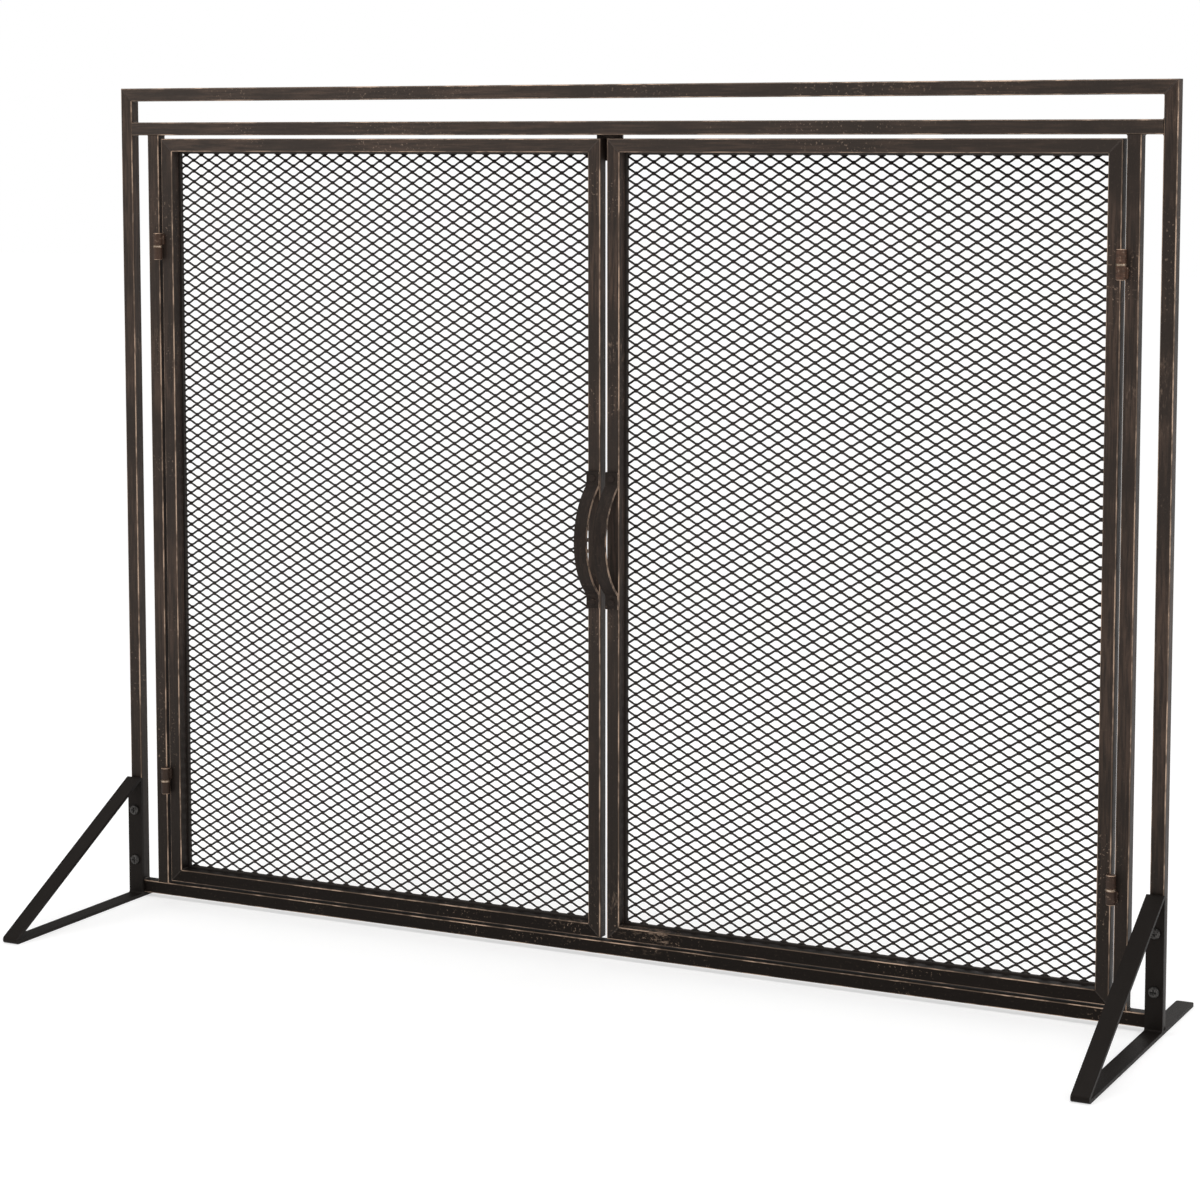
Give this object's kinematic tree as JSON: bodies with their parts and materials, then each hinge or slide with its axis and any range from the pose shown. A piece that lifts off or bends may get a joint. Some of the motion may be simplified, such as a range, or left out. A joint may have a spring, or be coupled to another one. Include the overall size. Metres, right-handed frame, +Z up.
{
  "type": "fireplace screen",
  "caption": "Free-standing fireplace screen: flat square-tube frame with hinged mesh doors, bow handles and bent flat-bar feet; the doors swing outward to reach the fire.",
  "frame": {"origin": "on the floor, midway between the two feet and midway along them", "axes": "+Z up; +X to the right seen from the front; the front of the screen, with the handles and the braces of the feet, looks along -Y"},
  "size_m": [1.07, 0.3048, 0.8115],
  "materials": {
    "tube_bronze": "satin dark bronze coat, rubbed to copper along edges and in patches",
    "hinge_bronze": "satin bronze coat, rubbed brown",
    "handle_bronze": "satin dark bronze coat with rubbed edges",
    "black_mesh": "matte black paint",
    "black_foot": "matte black powder coat",
    "brass_washer": "plain turned",
    "screw_steel": "zinc plated, dulled",
    "plain_steel": "bare"
  },
  "bodies": {
    "frame": {"bottom_rail": "tube_bronze", "door_stop": "tube_bronze", "header_rail": "tube_bronze", "left_foot": "black_foot", "left_foot_nuts": "plain_steel", "left_foot_screws": "screw_steel", "left_frame_knuckles": "hinge_bronze", "left_hinge_pins": "plain_steel", "left_hinge_washers": "brass_washer", "left_inner_stile": "tube_bronze", "left_outer_stile": "tube_bronze", "right_foot": "black_foot", "right_foot_nuts": "plain_steel", "right_foot_screws": "screw_steel", "right_frame_knuckles": "hinge_bronze", "right_hinge_pins": "plain_steel", "right_hinge_washers": "brass_washer", "right_inner_stile": "tube_bronze", "right_outer_stile": "tube_bronze", "top_rail": "tube_bronze"},
    "left_door": {"left_door_bottom_rail": "tube_bronze", "left_door_hinge_stile": "tube_bronze", "left_door_knuckles": "hinge_bronze", "left_door_meeting_stile": "tube_bronze", "left_door_mesh": "black_mesh", "left_door_top_rail": "tube_bronze", "left_handle": "handle_bronze", "left_handle_rivets": "handle_bronze"},
    "right_door": {"right_door_bottom_rail": "tube_bronze", "right_door_hinge_stile": "tube_bronze", "right_door_knuckles": "hinge_bronze", "right_door_meeting_stile": "tube_bronze", "right_door_mesh": "black_mesh", "right_door_top_rail": "tube_bronze", "right_handle": "handle_bronze", "right_handle_rivets": "handle_bronze"}
  },
  "joints": [
    {"name": "left_door_hinge", "type": "hinge", "parent": "frame", "child": "left_door", "pos_m": [-0.488, 0.0509, 0.3896], "axis": [0, 0, -1], "range_deg": [0, 100]},
    {"name": "right_door_hinge", "type": "hinge", "parent": "frame", "child": "right_door", "pos_m": [0.488, 0.0509, 0.3896], "axis": [0, 0, 1], "range_deg": [0, 100]}
  ]
}
